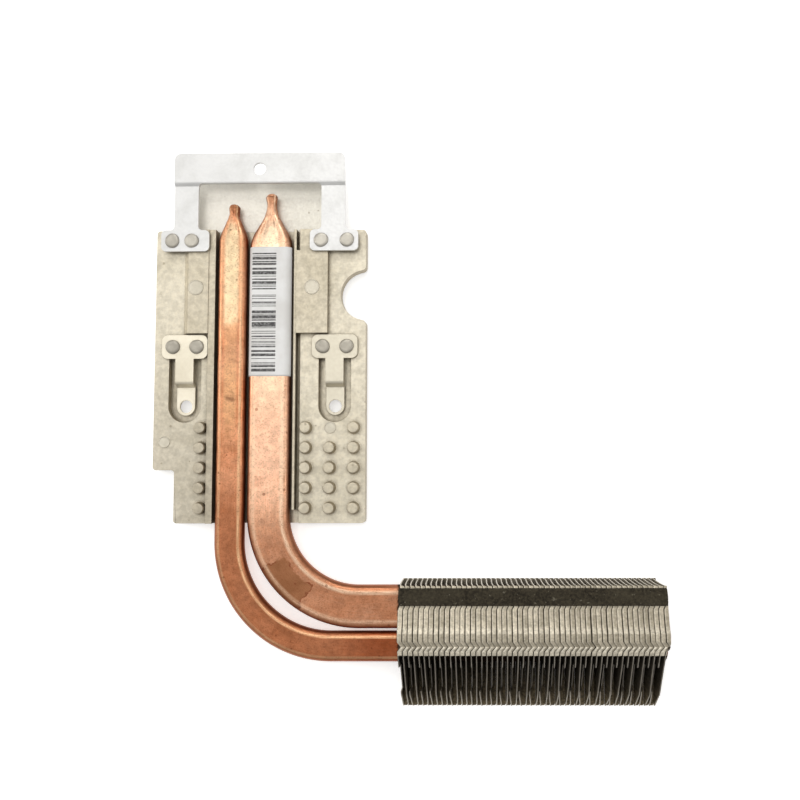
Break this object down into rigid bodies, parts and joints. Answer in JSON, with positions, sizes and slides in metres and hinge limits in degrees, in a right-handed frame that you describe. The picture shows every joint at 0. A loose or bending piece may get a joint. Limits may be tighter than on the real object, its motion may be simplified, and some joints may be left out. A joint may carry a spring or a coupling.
{
  "type": "laptop heat pipe heatsink",
  "caption": "Laptop heatsink: a cast aluminium base with pins, flattened copper heat pipes bent round to a stack of folded fins, a screw bracket and spring arms that press it onto a chip.",
  "frame": {"origin": "centre of the chip contact face under the base", "axes": "+X along the fin stack away from the bend, +Y from the stack towards the bracket, +Z away from the circuit board"},
  "size_m": [0.125, 0.1355, 0.0155],
  "materials": {
    "cast_aluminium": "as cast, satin",
    "bracket_steel": "plated, satin",
    "spring_steel": "plated, satin",
    "heat_pipe_copper": "bare copper, tarnished",
    "fin_aluminium": "bare rolled sheet",
    "gasket_foam": "open foam",
    "label_paper": "matte"
  },
  "bodies": {
    "root": {"base_casting": "cast_aluminium", "mounting_bracket": "bracket_steel", "left_spring_arm": "spring_steel", "right_spring_arm": "spring_steel", "narrow_heat_pipe": "heat_pipe_copper", "wide_heat_pipe": "heat_pipe_copper", "barcode_label": "label_paper", "foam_strip": "gasket_foam", "fin_01": "fin_aluminium", "fin_02": "fin_aluminium", "fin_03": "fin_aluminium", "fin_04": "fin_aluminium", "fin_05": "fin_aluminium", "fin_06": "fin_aluminium", "fin_07": "fin_aluminium", "fin_08": "fin_aluminium", "fin_09": "fin_aluminium", "fin_10": "fin_aluminium", "fin_11": "fin_aluminium", "fin_12": "fin_aluminium", "fin_13": "fin_aluminium", "fin_14": "fin_aluminium", "fin_15": "fin_aluminium", "fin_16": "fin_aluminium", "fin_17": "fin_aluminium", "fin_18": "fin_aluminium", "fin_19": "fin_aluminium", "fin_20": "fin_aluminium", "fin_21": "fin_aluminium", "fin_22": "fin_aluminium", "fin_23": "fin_aluminium", "fin_24": "fin_aluminium", "fin_25": "fin_aluminium", "fin_26": "fin_aluminium", "fin_27": "fin_aluminium", "fin_28": "fin_aluminium", "fin_29": "fin_aluminium", "fin_30": "fin_aluminium", "fin_31": "fin_aluminium", "fin_32": "fin_aluminium", "fin_33": "fin_aluminium", "fin_34": "fin_aluminium", "fin_35": "fin_aluminium", "fin_36": "fin_aluminium", "fin_37": "fin_aluminium", "fin_38": "fin_aluminium", "fin_39": "fin_aluminium", "fin_40": "fin_aluminium", "fin_41": "fin_aluminium", "fin_42": "fin_aluminium", "fin_43": "fin_aluminium", "fin_44": "fin_aluminium", "fin_45": "fin_aluminium", "fin_46": "fin_aluminium", "fin_47": "fin_aluminium", "fin_48": "fin_aluminium", "fin_49": "fin_aluminium", "fin_50": "fin_aluminium", "fin_51": "fin_aluminium", "fin_52": "fin_aluminium"}
  },
  "joints": []
}
